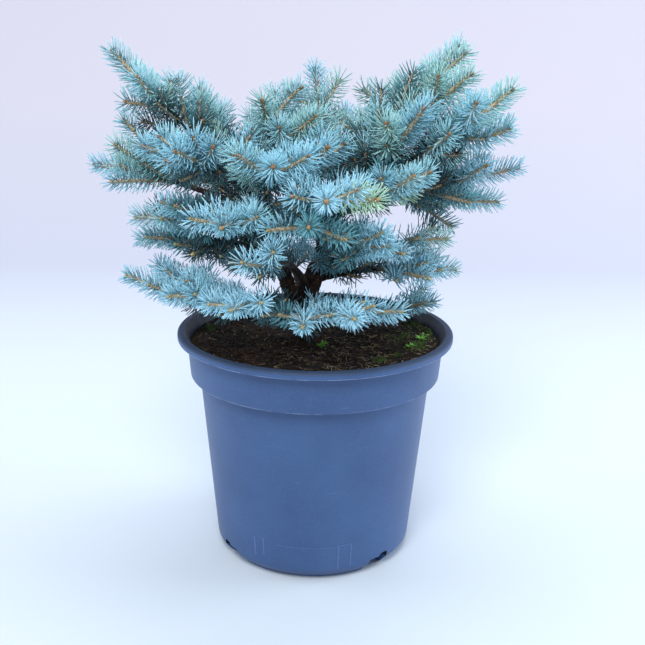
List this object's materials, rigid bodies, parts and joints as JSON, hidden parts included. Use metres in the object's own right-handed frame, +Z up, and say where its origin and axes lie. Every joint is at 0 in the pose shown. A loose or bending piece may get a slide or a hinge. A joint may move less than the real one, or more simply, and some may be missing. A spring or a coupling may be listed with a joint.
{
  "type": "potted blue spruce",
  "caption": "Potted dwarf blue spruce: a low, wide conifer with tiers of needled boughs on a short forked trunk, in a round tapered nursery pot with a rolled rim.",
  "frame": {"origin": "centre of the pot's flat underside", "axes": "+Z up, -Y towards the viewer of the picture, +X to that viewer's right"},
  "size_m": [0.3535, 0.3443, 0.4286],
  "materials": {
    "pot": "satin",
    "soil": "matte",
    "bark": "matte",
    "needles": "matte"
  },
  "bodies": {
    "root": {"pot": "pot", "soil": "soil", "trunk": "bark", "left_limb": "bark", "bough_top_left": "bark", "bough_left_crown_front": "bark", "bough_left_side": "bark", "bough_left_low": "bark", "bough_left_rim": "bark", "bough_front_left_fringe": "bark", "bough_front_right_fringe": "bark", "bough_front_left_mid": "bark", "bough_front_mid": "bark", "bough_front_star": "bark", "bough_front_upper": "bark", "bough_right_top": "bark", "bough_right_arm": "bark", "bough_right_side": "bark", "bough_back_left": "bark", "bough_back_right": "bark", "bough_back_mid": "bark", "foliage_top_left": "needles", "foliage_left_crown_back": "needles", "foliage_left_crown_front": "needles", "foliage_left_side": "needles", "foliage_left_mid": "needles", "foliage_left_lower": "needles", "foliage_left_low": "needles", "foliage_left_rim": "needles", "foliage_front_left_fringe": "needles", "foliage_front_fringe": "needles", "foliage_front_right_fringe": "needles", "foliage_right_low": "needles", "foliage_front_lower": "needles", "foliage_front_left_mid": "needles", "foliage_front_mid": "needles", "foliage_front_star": "needles", "foliage_front_upper": "needles", "foliage_crown_front": "needles", "foliage_crown_left": "needles", "foliage_crown_back": "needles", "foliage_right_crown": "needles", "foliage_right_top": "needles", "foliage_right_top_front": "needles", "foliage_right_arm": "needles", "foliage_right_side": "needles", "foliage_right_front": "needles", "foliage_right_mid": "needles", "foliage_right_lower": "needles", "foliage_right_inner": "needles", "foliage_back_crown": "needles", "foliage_back_crown_right": "needles", "foliage_back_left": "needles", "foliage_back_right": "needles", "foliage_back_mid": "needles", "foliage_back_low_left": "needles", "foliage_back_low_right": "needles", "foliage_back_fringe": "needles"}
  },
  "joints": []
}
